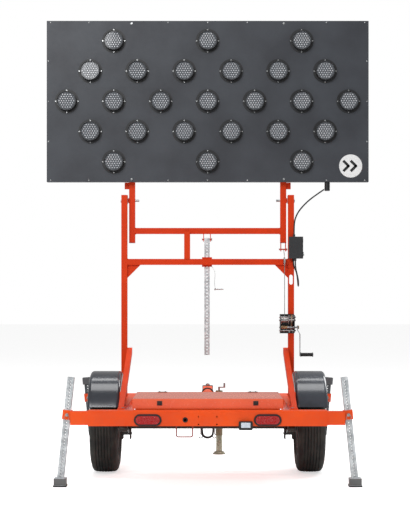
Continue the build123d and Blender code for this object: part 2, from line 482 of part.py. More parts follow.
def outriggers():
    mid = FRAME_Z + TUBE4 / 2
    for end, y in (("rear", TUBE4 / 2), ("front", CROSS_Y + TUBE4 / 2)):
        for s, name in ((-1, "left"), (1, "right")):
            lean = -LEG_LEAN if end == "rear" else LEG_LEAN - 1
            x = REAR_LEG_X if end == "rear" else FRONT_LEG_X
            frame = at(s * x, y, mid) * Rot(0, s * lean, 0)
            arm = square_tube("X", ARM, ARM_WALL, *side(s, ARM_START, x - 26), y, mid)
            sleeve = frame * Pos(0, 0, SLEEVE_UP) * Box(SLEEVE, SLEEVE, SLEEVE_H)
            hole = frame * Box(LEG + 2 * GAP, LEG + 2 * GAP, 400)
            add(f"{end}_{name}_arm", arm + sleeve - hole)
            if end == "rear":
                low, high = -(mid - 30) / cos(radians(lean)), (REAR_LEG_TOP - mid)
            else:
                low, high = FRONT_LEG_LOW - mid, FRONT_LEG_TOP - mid
            tube = Pos(0, 0, (low + high) / 2) * (Box(LEG, LEG, high - low)
                                                  - Box(LEG - 2 * LEG_WALL, LEG - 2 * LEG_WALL, 2000))
            tube -= leg_holes(low + 30, high)
            if end == "rear":
                foot_x = s * (x + tan(radians(LEG_LEAN)) * (mid - 30))
                foot = at(foot_x, y, 5) * Box(FOOT_W + 8, FOOT_W + 8, 10)
                foot += at(foot_x, y, FOOT_H / 2) * Box(FOOT_W, FOOT_W, FOOT_H)
                foot -= frame * Box(LEG, LEG, 2 * (mid - 32))
                add(f"{end}_{name}_leg", frame * tube + foot)
            else:
                foot = Pos(0, 0, high - STOWED_FOOT_H / 2) * Box(STOWED_FOOT_W, STOWED_FOOT_W, STOWED_FOOT_H)
                foot -= Pos(0, 0, high - STOWED_FOOT_H) * Box(LEG, LEG, 2 * (STOWED_FOOT_H - 6))
                add(f"{end}_{name}_leg", frame * (tube + foot))


def jack():
    side_x = TONGUE_W / 2
    bracket = rod("X", 42, 8, side_x + 4, JACK_Y, JACK_PIVOT_Z)
    bracket += rod("X", 8, 20, side_x + 10, JACK_Y, JACK_PIVOT_Z)
    add("tongue_tube", bracket)
    top = 505.0
    outer = pipe("Z", JACK_R, JACK_IN_R + GAP, top - 150, JACK_X, JACK_Y, (top + 150) / 2)
    outer += rod("Z", JACK_R, 8, JACK_X, JACK_Y, top)
    swivel = rod("X", 38, 17.5, side_x + 8 + GAP + 8.75, JACK_Y, JACK_PIVOT_Z)
    swivel -= rod("Z", JACK_IN_R + GAP, 200, JACK_X, JACK_Y, JACK_PIVOT_Z)
    outer += swivel
    outer -= rod("X", 8 + PIN_FIT, 12 + side_x, side_x + 8, JACK_Y, JACK_PIVOT_Z)
    outer -= rod("Z", 8 + PIN_FIT, 30, JACK_X, JACK_Y, top)
    add("jack_outer", outer)
    foot = rod("Z", 50, 8, JACK_X, JACK_Y, 4) + rod("Z", 40, 14, JACK_X, JACK_Y, 12)
    inner = pipe("Z", JACK_IN_R, 19, 410, JACK_X, JACK_Y, 220)
    add("jack_inner", inner + foot)
    crank = rod("Z", 8, 60, JACK_X, JACK_Y, top + 4)
    crank += block(JACK_X - 8, JACK_X + 50, JACK_Y - 8, JACK_Y + 8, top + 26, top + 34)
    crank += rod("Z", 8, 36, JACK_X + 42, JACK_Y, top + 46)
    add("jack_crank", crank)


def tow_lead():
    y0, y1, z_top, z_low, half, thick = 1690.0, 1722.0, 545.0, 128.0, 60.0, 13.0
    ring = at(0, (y0 + y1) / 2, (z_top + z_low) / 2) * Rot(90, 0, 0) * (
        extrude(SlotOverall(z_top - z_low, 2 * half, rotation=90), (y1 - y0) / 2, both=True)
        - extrude(SlotOverall(z_top - z_low - 2 * thick, 2 * half - 2 * thick, rotation=90),
                  y1 - y0, both=True))
    add("tow_lead_coil", ring)
    cord([(-75, CROSS_Y + TUBE4, 487), (-75, 1545, 487), (-70, 1590, 484), (-58, 1628, 477),
          (-53.5, 1660, 472), (-53.5, y0, 472)], LEAD_R, "tow_lead")
    add("tow_plug", rod("Y", 17, 66, -53.5, y1 + 33, 300) + rod("Y", 21, 14, -53.5, y1 + 50, 300))


def chains():
    wire, pitch, z_top, y = 3.2, 25.0, FRAME_Z + 14, TONGUE_END - 25
    links = []
    for s, x in ((-1, -58.0), (1, 58.0)):
        path = SlotCenterToCenter(pitch - 6, 16, rotation=90).wire()
        link = sweep(Plane(path @ 0, z_dir=path % 0) * Circle(wire), path=path)
        for k in range(12):
            links.append(at(x, y, z_top - 10 - (pitch - 1.8) * k) * Rot(0, 0, 90 * (k % 2)) * Rot(90, 0, 0) * link)
        hook = at(x, y, 92) * Rot(90, 0, 90) * (Torus(16, 4.5) - Pos(13, 11, 0) * Box(26, 18, 12))
        links.append(hook + rod("Z", 4.5, 40, x, y, 128))
        links.append(rod("X", 5, 27, s * (TONGUE_W / 2 + 13.5), y, z_top + 12))
    add("safety_chains", links)


def main():
    os.makedirs("parts", exist_ok=True)
    for make in (chassis, mast, tilt_frame, board, wheels, fenders, battery_bay,
                 lamps_and_bumper, coupler, winch, controls, outriggers, jack, tow_lead, chains):
        make()
    for name, solids in PARTS.items():
        export_step(Compound(children=solids), f"parts/{name}.step")
    print(len(PARTS), "nodes")


main()
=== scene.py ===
"""Arrow board trailer: looks for the packed model, laid out as an add-on and run as a script."""

import json
from math import cos, pi, radians, sin

import bmesh
import bpy
from bpy.props import FloatProperty, FloatVectorProperty, PointerProperty, StringProperty
from mathutils import Matrix, Vector


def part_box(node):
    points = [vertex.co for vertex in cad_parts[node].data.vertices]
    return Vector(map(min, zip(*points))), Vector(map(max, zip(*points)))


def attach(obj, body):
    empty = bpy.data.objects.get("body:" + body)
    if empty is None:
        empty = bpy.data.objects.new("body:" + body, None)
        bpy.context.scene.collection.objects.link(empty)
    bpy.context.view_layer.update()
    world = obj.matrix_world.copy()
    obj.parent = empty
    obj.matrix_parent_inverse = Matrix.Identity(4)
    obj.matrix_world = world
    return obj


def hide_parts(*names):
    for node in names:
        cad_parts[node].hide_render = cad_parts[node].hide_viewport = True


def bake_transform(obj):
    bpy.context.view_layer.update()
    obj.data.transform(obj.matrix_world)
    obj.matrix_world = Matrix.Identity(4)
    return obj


bl_info = {
    "name": "Arrow Board Trailer",
    "version": (1, 0, 0),
    "blender": (4, 5, 0),
    "location": "View3D > Sidebar > Trailer",
    "description": "Finishes, lamps, tyres, cords and small parts of an arrow board trailer",
    "category": "Object",
}

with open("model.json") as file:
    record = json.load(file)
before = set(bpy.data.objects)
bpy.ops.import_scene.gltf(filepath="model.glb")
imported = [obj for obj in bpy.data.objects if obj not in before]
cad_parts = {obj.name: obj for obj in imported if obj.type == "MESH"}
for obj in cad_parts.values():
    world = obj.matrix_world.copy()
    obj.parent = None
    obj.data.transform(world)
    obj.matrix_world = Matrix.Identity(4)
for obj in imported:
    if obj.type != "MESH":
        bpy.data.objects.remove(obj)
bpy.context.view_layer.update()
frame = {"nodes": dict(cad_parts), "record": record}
NODES = frame["nodes"]
REAR_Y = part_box("outrigger_tubes")[0][1]      # the bumper's rear face
BOARD_LOW, BOARD_HIGH = (Vector(v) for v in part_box("display_panel"))
MM = 0.001


# ---------------------------------------------------------------- materials

def linear(text):
    """An sRGB hex colour as linear RGBA."""
    parts = [int(text[i:i + 2], 16) / 255 for i in (1, 3, 5)]
    return [c / 12.92 if c <= 0.04045 else ((c + 0.055) / 1.055) ** 2.4 for c in parts] + [1.0]


def node(tree, kind, settings=None, **inputs):
    """Adds a node; inputs are values or (node, output name) links, by socket name."""
    made = tree.nodes.new(kind)
    for key, value in (settings or {}).items():
        setattr(made, key, value)
    for key, value in inputs.items():
        socket = made.inputs[int(key[1:])] if key[0] == "i" and key[1:].isdigit() else \
            made.inputs[key.replace("_", " ")]
        if isinstance(value, tuple) and isinstance(value[0], bpy.types.Node):
            tree.links.new(value[0].outputs[value[1]], socket)
        else:
            socket.default_value = value
    return made


def start(name, **shader):
    """A new material with its shader's own values set; gives the tree, shader and coordinates."""
    mat = bpy.data.materials.new(name)
    mat.use_nodes = True
    tree = mat.node_tree
    bsdf = tree.nodes["Principled BSDF"]
    for key, value in shader.items():
        bsdf.inputs[key.replace("_", " ")].default_value = value
    coords = tree.nodes.new("ShaderNodeTexCoord")
    return mat, tree, bsdf, coords


def ramp(tree, source, stops):
    made = tree.nodes.new("ShaderNodeValToRGB")
    tree.links.new(source[0].outputs[source[1]], made.inputs["Fac"])
    elements = made.color_ramp.elements
    for i, (place, colour) in enumerate(stops):
        item = elements[i] if i < 2 else elements.new(place)
        item.position = place
        item.color = linear(colour) if isinstance(colour, str) else (colour, colour, colour, 1)
    return made


def bump(tree, bsdf, height, strength, distance):
    made = node(tree, "ShaderNodeBump", Strength=strength, Distance=distance, Height=height)
    tree.links.new(made.outputs["Normal"], bsdf.inputs["Normal"])


def coated(name, base, shade, dust, grain_mm=2.2, rough=0.34, coat=0.25, metallic=0.0, shine=0.5):
    """Powder coat: orange-peel bump, faint shade drift, and road dust that thickens low down."""
    mat, tree, bsdf, coords = start(name, Metallic=metallic, Coat_Weight=coat, Coat_Roughness=0.18,
                                    Specular_IOR_Level=shine)
    drift = node(tree, "ShaderNodeTexNoise", Vector=(coords, "Object"), Scale=3.0, Detail=5.0)
    tone = ramp(tree, (drift, "Fac"), ((0.35, shade), (0.62, base)))
    place = node(tree, "ShaderNodeSeparateXYZ", Vector=(coords, "Object"))
    low = node(tree, "ShaderNodeMapRange", None, Value=(place, "Z"))
    low.inputs["From Min"].default_value = 0.75
    low.inputs["From Max"].default_value = 0.15
    specks = node(tree, "ShaderNodeTexNoise", Vector=(coords, "Object"), Scale=38.0, Detail=6.0)
    cover = node(tree, "ShaderNodeMath", {"operation": "MULTIPLY"}, i0=(low, "Result"),
                 i1=(specks, "Fac"))
    thin = node(tree, "ShaderNodeMath", {"operation": "MULTIPLY"}, i0=(cover, "Value"), i1=0.35)
    mix = node(tree, "ShaderNodeMix", {"data_type": "RGBA"}, i0=(thin, "Value"), i6=(tone, "Color"),
               i7=linear(dust))
    tree.links.new(mix.outputs[2], bsdf.inputs["Base Color"])
    smear = node(tree, "ShaderNodeMapRange", None, Value=(specks, "Fac"))
    smear.inputs["To Min"].default_value = rough - 0.07
    smear.inputs["To Max"].default_value = rough + 0.1
    tree.links.new(smear.outputs["Result"], bsdf.inputs["Roughness"])
    peel = node(tree, "ShaderNodeTexNoise", Vector=(coords, "Object"), Scale=1 / (grain_mm * MM), Detail=2.0)
    bump(tree, bsdf, (peel, "Fac"), 0.12, 0.0004)
    return mat


def plated(name, light, dark, spangle_mm=14.0, rough=0.38, metallic=0.85):
    """Zinc: crystalline spangle cells, each a slightly different grey and gloss."""
    mat, tree, bsdf, coords = start(name, Metallic=metallic)
    cells = node(tree, "ShaderNodeTexVoronoi", Vector=(coords, "Object"), Scale=1 / (spangle_mm * MM))
    grey = node(tree, "ShaderNodeSeparateColor", Color=(cells, "Color"))
    tone = ramp(tree, (grey, "Red"), ((0.0, dark), (1.0, light)))
    stain = node(tree, "ShaderNodeTexNoise", Vector=(coords, "Object"), Scale=22.0, Detail=6.0)
    fade = ramp(tree, (stain, "Fac"), ((0.35, 0.72), (0.6, 1.0)))
    mix = node(tree, "ShaderNodeMix", {"data_type": "RGBA", "blend_type": "MULTIPLY"}, i0=1.0,
               i6=(tone, "Color"), i7=(fade, "Color"))
    tree.links.new(mix.outputs[2], bsdf.inputs["Base Color"])
    gloss = node(tree, "ShaderNodeMapRange", None, Value=(grey, "Green"))
    gloss.inputs["To Min"].default_value = rough - 0.08
    gloss.inputs["To Max"].default_value = rough + 0.14
    tree.links.new(gloss.outputs["Result"], bsdf.inputs["Roughness"])
    bump(tree, bsdf, (stain, "Fac"), 0.15, 0.0005)
    return mat


def moulded(name, base, worn, grain_mm=1.2, rough=0.45, strength=0.2, coat=0.0, drift_scale=9.0):
    """Moulded polymer or rubber: fine grain, and patches a little lighter where it is handled."""
    mat, tree, bsdf, coords = start(name, Coat_Weight=coat, Coat_Roughness=0.1)
    patches = node(tree, "ShaderNodeTexNoise", Vector=(coords, "Object"), Scale=drift_scale, Detail=6.0)
    tone = ramp(tree, (patches, "Fac"), ((0.4, base), (0.72, worn)))
    tree.links.new(tone.outputs["Color"], bsdf.inputs["Base Color"])
    gloss = node(tree, "ShaderNodeMapRange", None, Value=(patches, "Fac"))
    gloss.inputs["To Min"].default_value = max(rough - 0.08, 0.02)
    gloss.inputs["To Max"].default_value = rough + 0.12
    tree.links.new(gloss.outputs["Result"], bsdf.inputs["Roughness"])
    grain = node(tree, "ShaderNodeTexNoise", Vector=(coords, "Object"), Scale=1 / (grain_mm * MM), Detail=3.0)
    bump(tree, bsdf, (grain, "Fac"), strength, 0.0004)
    return mat


def lens_material(name, base, bright, pitch_mm, rough, transmission, coat=0.6):
    """Prismatic polymer lens: small square pillows moulded at the given pitch."""
    mat, tree, bsdf, coords = start(name, IOR=1.49, Transmission_Weight=transmission,
                                    Coat_Weight=coat, Coat_Roughness=0.05)
    place = node(tree, "ShaderNodeSeparateXYZ", Vector=(coords, "Object"))
    waves = []
    for axis in ("X", "Z"):
        turn = node(tree, "ShaderNodeMath", {"operation": "MULTIPLY"}, i0=(place, axis),
                    i1=2 * pi / (pitch_mm * MM))
        waves.append(node(tree, "ShaderNodeMath", {"operation": "SINE"}, i0=(turn, "Value")))
    both = node(tree, "ShaderNodeMath", {"operation": "ADD"}, i0=(waves[0], "Value"),
                i1=(waves[1], "Value"))
    tone = ramp(tree, (both, "Value"), ((0.1, base), (0.9, bright)))
    tree.links.new(tone.outputs["Color"], bsdf.inputs["Base Color"])
    bsdf.inputs["Roughness"].default_value = rough
    bump(tree, bsdf, (both, "Value"), 0.5, 0.001)
    return mat


MATS = {}


def make_materials(settings):
    MATS.update({
        # Powder-coated mild steel: even, bright, slightly glossy with orange-peel texture.
        "frame_orange": coated("powder_coated_steel_orange", settings.frame_colour, "#F04800", "#8A7A66",
                               2.2, 0.36, 0.05, 0.0, 0.22),
        # The lid's coat lies flat to the sky; its colour, paler than the tubes, is painted sky highlight.
        "lid_orange_painted_sky_highlight": coated("lid_coat_painted_sky_highlight", "#F86A34", "#F05E2A", "#A89684", 2.2, 0.24, 0.5),
        # Same coat on the mast, coloured redder and flatter than the frame.
        "mast_orange": coated("powder_coated_mast_tube", settings.mast_colour, "#D23600", "#8A7A66",
                              2.2, 0.42, 0.04, 0.0, 0.22),
        # The round bar is orange paint; its dark red here is painted shade.
        "handle_red": coated("round_bar_orange_painted_shade", "#A01C10", "#7C140C", "#8A7A66", 1.5, 0.4, 0.1),
        # Bright zinc plate on small steel parts.
        "zinc": plated("bright_zinc_plate", "#D4D6D6", "#A2A4A6", 6.0, 0.28),
        # Galvanised perforated sign-post tube: larger, dull spangle.
        "perforated_zinc": plated("galvanised_perforated_tube", "#E8ECEE", "#C6CCD0", 15.0, 0.45, 0.45),
        # A darker copy of the perforated tube for the front legs: painted shade.
        "perforated_zinc_painted_shade": plated("perforated_tube_painted_shade", "#6C7074", "#4C5054", 15.0, 0.55, 0.4),
        # Satin powder coat on aluminium sheet: dark slate.
        "panel_black": coated("satin_powder_coated_aluminium", settings.board_colour, "#30333A", "#30333A", 1.6, 0.5, 0.05),
        "hood_black": moulded("moulded_asa_hood", "#17181B", "#26282C", 1.2, 0.42),
        "lens_grey": lens_material("clear_polycarbonate_lens", "#3C4046", "#7A7F86", 7.0, 0.2, 0.0),
        "black_plastic": moulded("moulded_nylon_black", "#141416", "#232427", 1.0, 0.4),
        # Tyre tread and side rubber: dull, dusty in patches.
        "tyre": moulded("vulcanised_tyre_rubber", "#1B1B19", "#3A3833", 1.6, 0.7, 0.35, 0.0, 14.0),
        "wheel_silver": coated("silver_wheel_enamel", "#C9CACB", "#B2B3B5", "#8A7A66", 1.5, 0.3, 0.4, 0.6),
        "axle_black": coated("black_chassis_enamel", "#1A1A1B", "#101011", "#6E6250", 2.0, 0.45, 0.1),
        # Rotomoulded polyethylene fender: dark slate with a broad soft gloss.
        "fender_grey": moulded("glossy_moulded_polyethylene", settings.fender_colour, "#3C424C", 2.6, 0.2, 0.1, 0.5, 4.0),
        # Scuffed grey enamel on the welded leg feet.
        "foot_grey": coated("grey_foot_enamel", "#6E7073", "#5A5C60", "#8A8378", 2.0, 0.5, 0.0, 0.0, 0.3),
        "black_rubber": moulded("moulded_epdm_rubber", "#131314", "#242424", 1.2, 0.6, 0.3),
        "red_lens": lens_material("red_acrylic_lens", "#9C0004", "#CC0408", 9.0, 0.24, 0.0, 0.1),
        "control_grey": coated("grey_box_enamel", "#2E3033", "#26282B", "#26282B", 1.6, 0.42, 0.1),
        "winch_black": coated("black_winch_enamel", "#1B1B1C", "#101011", "#3A3630", 1.6, 0.38, 0.2),
        "cable_black": moulded("pvc_cable_jacket", "#101012", "#1E1E20", 0.8, 0.42, 0.15),
        # Jack enamel and zinc, both tinted olive: painted reflection of green grass.
        "jack_olive": coated("grey_jack_enamel_painted_grass_reflection", "#8B8868", "#76745A", "#6E6250", 1.8, 0.4, 0.15),
        "jack_zinc": plated("jack_tube_zinc_painted_grass_reflection", "#C2C0AE", "#98967F", 8.0, 0.34),
        # Yellow-chromate plate: zinc with a warm straw tint.
        "chromate": plated("yellow_chromate_plate", "#C8A47C", "#9C7C58", 5.0, 0.32),
        # Vinyl film, satin white, and its dark print.
        "white_vinyl": moulded("satin_white_vinyl", "#F2F3F3", "#E4E5E6", 2.0, 0.4, 0.04),
        "led_dome": moulded("led_epoxy_dome", "#C8CCD2", "#F0F2F4", 1.0, 0.12, 0.05, 0.6),
        "clear_lens": lens_material("clear_acrylic_lens", "#C8D4E6", "#F6FAFF", 5.0, 0.1, 0.0),
        "bare_wire": plated("stainless_wire", "#C8C8C6", "#9C9C9A", 3.0, 0.25),
    })


# ---------------------------------------------------------------- mesh helpers

def finish_mesh(bm, name, mat, body, smooth=35.0, bevel=0.0, replaces=None):
    """Turns a bmesh into a piece that rides on a body; its place is in its mesh."""
    mesh = bpy.data.meshes.new(name)
    bm.to_mesh(mesh)
    bm.free()
    obj = bpy.data.objects.new(name, mesh)
    bpy.context.scene.collection.objects.link(obj)
    mesh.materials.append(MATS[mat])
    mesh.set_sharp_from_angle(angle=radians(smooth))
    for face in mesh.polygons:
        face.use_smooth = True
    if bevel:
        edge = obj.modifiers.new("Bevel", "BEVEL")
        edge.width = bevel
        edge.segments = 2
        edge.limit_method = "ANGLE"
    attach(obj, body)
    if replaces:
        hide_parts(*replaces)
    return obj


AXES = {"X": Matrix.Rotation(pi / 2, 4, "Y"), "Y": Matrix.Rotation(pi / 2, 4, "X"), "Z": Matrix.Identity(4)}


def disc(bm, axis, r, length, place, sides=24, r2=None):
    """A round bar or cone centred on a place."""
    made = bmesh.ops.create_cone(bm, cap_ends=True, segments=sides, radius1=r,
                                 radius2=r if r2 is None else r2, depth=length)
    bmesh.ops.transform(bm, matrix=Matrix.Translation(place) @ AXES[axis], verts=made["verts"])


def slab(bm, size, place, turn=None):
    made = bmesh.ops.create_cube(bm, size=1.0)
    place = Matrix.Translation(place) @ (turn or Matrix.Identity(4)) @ Matrix.Diagonal((*size, 1))
    bmesh.ops.transform(bm, matrix=place, verts=made["verts"])


def dome(bm, r, place, flat=0.6, face=Matrix.Identity(4), rings=4, sides=10):
    made = bmesh.ops.create_uvsphere(bm, u_segments=sides, v_segments=rings * 2, radius=r)
    bmesh.ops.transform(bm, matrix=Matrix.Translation(place) @ face @ Matrix.Diagonal((1, 1, flat, 1)),
                        verts=made["verts"])


def spin_profile(bm, outline, axis_x, centre, steps=96, closed=True):
    """Spins an outline of (across, radius) points about an X axis through a centre."""
    verts = [bm.verts.new((axis_x + a, centre[1], centre[2] + r)) for a, r in outline]
    pairs = list(zip(verts, verts[1:])) + ([(verts[-1], verts[0])] if closed else [])
    edges = [bm.edges.new(pair) for pair in pairs]
    bmesh.ops.spin(bm, geom=verts + edges, cent=(axis_x, centre[1], centre[2]), axis=(1, 0, 0),
                   angle=2 * pi, steps=steps, use_merge=True)
    bmesh.ops.remove_doubles(bm, verts=bm.verts, dist=1e-6)
    bmesh.ops.recalc_face_normals(bm, faces=bm.faces)


def wire(name, points, radius, mat, body, cyclic=False, order=3):
    """A smooth NURBS cord through a hand-chosen route."""
    data = bpy.data.curves.new(name, "CURVE")
    data.dimensions = "3D"
    spline = data.splines.new("NURBS")
    spline.points.add(len(points) - 1)
    for item, place in zip(spline.points, points):
        item.co = (*place, 1.0)
    spline.order_u = order
    spline.use_endpoint_u = not cyclic
    spline.use_cyclic_u = cyclic
    spline.resolution_u = 8
    data.bevel_depth = radius
    data.bevel_resolution = 4
    data.use_fill_caps = True
    obj = bpy.data.objects.new(name, data)
    bpy.context.scene.collection.objects.link(obj)
    data.materials.append(MATS[mat])
    if body:
        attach(obj, body)
    return obj


def to_tube(obj):
    """A mesh copy of a wire and the line that it follows, for a piece that must bend."""
    depsgraph = bpy.context.evaluated_depsgraph_get()
    mesh = bpy.data.meshes.new_from_object(obj.evaluated_get(depsgraph))
    obj.data.bevel_depth = 0.0
    depsgraph.update()
    line = bpy.data.meshes.new_from_object(obj.evaluated_get(depsgraph))
    path = [tuple(v.co) for v in line.vertices]
    name = obj.name
    bpy.data.objects.remove(obj)
    tube = bpy.data.objects.new(name, mesh)
    bpy.context.scene.collection.objects.link(tube)
    for item in mesh.polygons:
        item.use_smooth = True
    return tube, path


def from_bumper(points):
    """Route points whose y counts forward from the bumper, in metres."""
    return [(x, REAR_Y + y, z) for x, y, z in points]


# ---------------------------------------------------------------- settings

class TrailerSettings(bpy.types.PropertyGroup):
    frame_colour: StringProperty(name="Frame colour", description="Chassis coat, sRGB hex", default="#FF5400")
    mast_colour: StringProperty(name="Mast colour", description="Mast coat, sRGB hex", default="#E03C02")
    board_colour: StringProperty(name="Board colour", description="Lamp board coat, sRGB hex", default="#3C4047")
    fender_colour: StringProperty(name="Fender colour", description="Fender plastic, sRGB hex", default="#2A2E35")
    led_radius: FloatProperty(name="LED radius", description="Radius of one LED dome", default=0.0062,
                              unit="LENGTH")
    groove_depth: FloatProperty(name="Groove depth", description="Depth of the tyre's rib grooves",
                                default=0.009, unit="LENGTH")
    cable_radius: FloatProperty(name="Cable radius", description="Radius of the black leads",
                                default=0.0055, unit="LENGTH")
    rope_radius: FloatProperty(name="Rope radius", description="Radius of the winch rope",
                               default=0.0025, unit="LENGTH")
    camera_distance: FloatProperty(name="Camera distance", description="From the bumper's rear face",
                                   default=8.67, unit="LENGTH")
    sky_light: FloatProperty(name="Sky light", description="How strongly the white sky lights the trailer",
                             default=0.38)
    floor_glow: FloatProperty(name="Floor glow", description="Lifts the floor to the sky's white in view",
                              default=0.6)
    floor_colour: FloatVectorProperty(name="Floor colour", description="Pale studio floor",
                                      default=(0.9, 0.9, 0.9), subtype="COLOR")


def settings():
    return bpy.context.scene.trailer


LAMP_PITCH = 0.2286
LAMP_ROWS = ((-2, (0, 0.7112)), (-1, (0.1778, 0.5334, 0.889)), (0, (0, 0.3556, 0.7112, 1.0668)),
             (1, (0.1778, 0.5334, 0.889)), (2, (0, 0.7112)))


def lamp_centres():
    middle = (BOARD_LOW.z + BOARD_HIGH.z) / 2
    for row, places in LAMP_ROWS:
        for x in sorted({k * v for v in places for k in (-1, 1)}):
            yield x, middle + row * LAMP_PITCH


# ---------------------------------------------------------------- pieces

# Nodes whose finish carries painted light: painted sky highlight on the lid, painted shade on the front legs.
PAINTED_LIGHT_OVERRIDES = {"battery_lid": "lid_orange_painted_sky_highlight", "front_left_leg": "perforated_zinc_painted_shade", "front_right_leg": "perforated_zinc_painted_shade"}


def paint_cad_nodes():
    """Every CAD node takes the finish of its own material slot, save the few that have weathered."""
    for part in frame["record"]["subparts"]:
        obj = NODES[part["node"]]
        finish = PAINTED_LIGHT_OVERRIDES.get(part["node"], part["material_slot"])
        obj.data.materials.clear()
        obj.data.materials.append(MATS[finish])


def lamp_leds():
    """A hexagonal field of LED domes behind the rim of every lamp."""
    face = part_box("lamp_lenses")[0][1]
    bm = bmesh.new()
    pitch, r = 0.0185, settings().led_radius
    for x, z in lamp_centres():
        for i in range(-3, 4):
            for j in range(-3, 4):
                u, v = pitch * (i + 0.5 * j), pitch * 0.866 * j
                if u * u + v * v < 0.059 ** 2:
                    disc(bm, "Y", r, 0.004, (x + u, face - 0.001, z + v), 8, r * 0.55)
    finish_mesh(bm, "lamp_led_domes", "led_dome", "tilt_board", 50)
    bm = bmesh.new()
    for x, z in lamp_centres():
        disc(bm, "Y", 0.066, 0.0012, (x, face - 0.0004, z), 40)
    finish_mesh(bm, "lamp_lens_faces", "lens_grey", "tilt_board", 30)
    bm = bmesh.new()
    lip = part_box("lamp_hoods")[0][1]
    for x, z in lamp_centres():
        ring = [bm.verts.new((x + across, lip + dy, z)) for across, dy in
                ((0.0688, 0.002), (0.0695, -0.0001), (0.0725, -0.0001), (0.0735, 0.002))]
        edges = [bm.edges.new(p) for p in zip(ring, ring[1:])]
        bmesh.ops.spin(bm, geom=ring + edges, cent=(x, lip, z), axis=(0, 1, 0), angle=2 * pi, steps=40,
                       use_merge=True)
    bmesh.ops.remove_doubles(bm, verts=bm.verts, dist=1e-6)
    bmesh.ops.recalc_face_normals(bm, faces=bm.faces)
    finish_mesh(bm, "lamp_hood_lips", "hood_black", "tilt_board", 40)


def board_trim():
    """Edge screws, cross slots, stiffeners behind the sheet, decal and the connector's ribs."""
    bm = bmesh.new()
    y = BOARD_LOW.y - 0.001
    for x in (-1.19, -0.9, -0.3, 0, 0.3, 0.9, 1.19):
        for z in (BOARD_LOW.z + 0.012, BOARD_HIGH.z - 0.012):
            dome(bm, 0.0055, (x, y + 0.001, z), 0.5, AXES["Y"])
    for x in (-1.207, 1.207):
        for k in range(1, 4):
            dome(bm, 0.0055, (x, y + 0.001, BOARD_LOW.z + k * 0.3048), 0.5, AXES["Y"])
    finish_mesh(bm, "board_edge_screws", "zinc", "tilt_board", 50)
    bm = bmesh.new()
    back = BOARD_HIGH.y
    for z in (BOARD_LOW.z + 0.25, BOARD_HIGH.z - 0.25):
        for s in (-1, 1):
            slab(bm, (0.56, 0.012, 0.05), (s * 0.9, back + 0.006, z))
        slab(bm, (1.05, 0.012, 0.05), (0, back + 0.006, z))
    finish_mesh(bm, "board_back_stiffeners", "panel_black", "tilt_board", 30, 0.002)
    x, z, r = 1.083, BOARD_LOW.z + 0.12, 0.0875
    bm = bmesh.new()
    disc(bm, "Y", r, 0.0006, (x, y + 0.0006, z), 48)
    finish_mesh(bm, "board_decal", "white_vinyl", "tilt_board", 30)
    bm = bmesh.new()
    for dx in (-0.034, 0.022):
        for s in (-1, 1):
            slab(bm, (0.062, 0.0006, 0.02), (x + dx, y - 0.0001, z + s * 0.018),
                 Matrix.Rotation(-s * radians(-45), 4, "Y"))
    finish_mesh(bm, "board_decal_chevrons", "hood_black", "tilt_board", 30)
    low, high = (Vector(v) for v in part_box("display_connector"))
    bm = bmesh.new()
    middle = (low + high) / 2
    for k in range(5):
        disc(bm, "Z", 0.0212, 0.004, (middle.x, middle.y, low.z + 0.012 + 0.011 * k), 28)
    disc(bm, "X", 0.0085, 0.02, (low.x + 0.0095, middle.y, low.z + 0.019), 20, 0.0065)
    finish_mesh(bm, "display_connector_ribs", "hood_black", "tilt_board", 40)


def tyre_outline(half, crown, depth):
    """Section from bead to crown and back: round shoulders, and ribs between the grooves."""
    bead = 0.1815
    side = []
    for k in range(9):
        bulge = sin(k / 8 * pi * 0.62 + 0.25)
        side.append((half - 0.024 + 0.024 * bulge, bead + (crown - 0.040 - bead) * k / 8))
    side.append((half - 0.009, crown - 0.024))
    side.append((half - 0.018, crown - 0.011))
    ribs = []
    for place, wide in ((0.052, 0.005), (0.031, 0.006), (0.0105, 0.006)):
        top = crown - 0.9 * place * place
        ribs += [(place + wide / 2 + 0.001, top), (place + wide / 2, top - 0.0012),
                 (place + wide / 3, crown - depth), (place - wide / 3, crown - depth),
                 (place - wide / 2, top - 0.0012), (place - wide / 2 - 0.001, top)]
    right = side + [(half - 0.030, crown - 0.0050)] + ribs
    return right + [(-a, r) for a, r in reversed(right)] + [(0.024 - half, bead - MM), (half - 0.024, bead - MM)]


def tyres():
    for name in ("left", "right"):
        low, high = (Vector(v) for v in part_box(f"{name}_tyre"))
        middle = (low + high) / 2
        bm = bmesh.new()
        half, crown = (high.x - low.x) / 2, (high.z - low.z) / 2
        spin_profile(bm, tyre_outline(half, crown, settings().groove_depth), middle.x, middle, 96)
        finish_mesh(bm, f"{name}_ribbed_tyre", "tyre", f"{name}_wheel", 40,
                    replaces=[f"{name}_tyre"])
        sign = 1 if name == "right" else -1
        bm = bmesh.new()
        for k in range(5):
            a = radians(90 + 72 * k)
            disc(bm, "X", 0.0115, 0.016, (middle.x + sign * 0.023, middle.y + 0.05715 * cos(a),
                                          middle.z + 0.05715 * sin(a)), 6)
        disc(bm, "X", 0.0035, 0.03, (middle.x + sign * 0.05, middle.y + 0.145, middle.z), 10)
        finish_mesh(bm, f"{name}_lug_nuts", "zinc", f"{name}_wheel", 30, 0.001)
        bm = bmesh.new()
        for face in (-1, 1):
            for r in (0.215, 0.285):
                ring = [bm.verts.new((middle.x + face * (half - 0.0035 + dx), middle.y, middle.z + r + dr))
                        for dx, dr in ((-0.004, -0.003), (0.002, 0), (-0.004, 0.003))]
                edges = [bm.edges.new(p) for p in zip(ring, ring[1:])]
                bmesh.ops.spin(bm, geom=ring + edges, cent=middle, axis=(1, 0, 0), angle=2 * pi,
                               steps=72, use_merge=True)
        bmesh.ops.remove_doubles(bm, verts=bm.verts, dist=1e-6)
        bmesh.ops.recalc_face_normals(bm, faces=bm.faces)
        finish_mesh(bm, f"{name}_sidewall_rings", "tyre", f"{name}_wheel", 40)


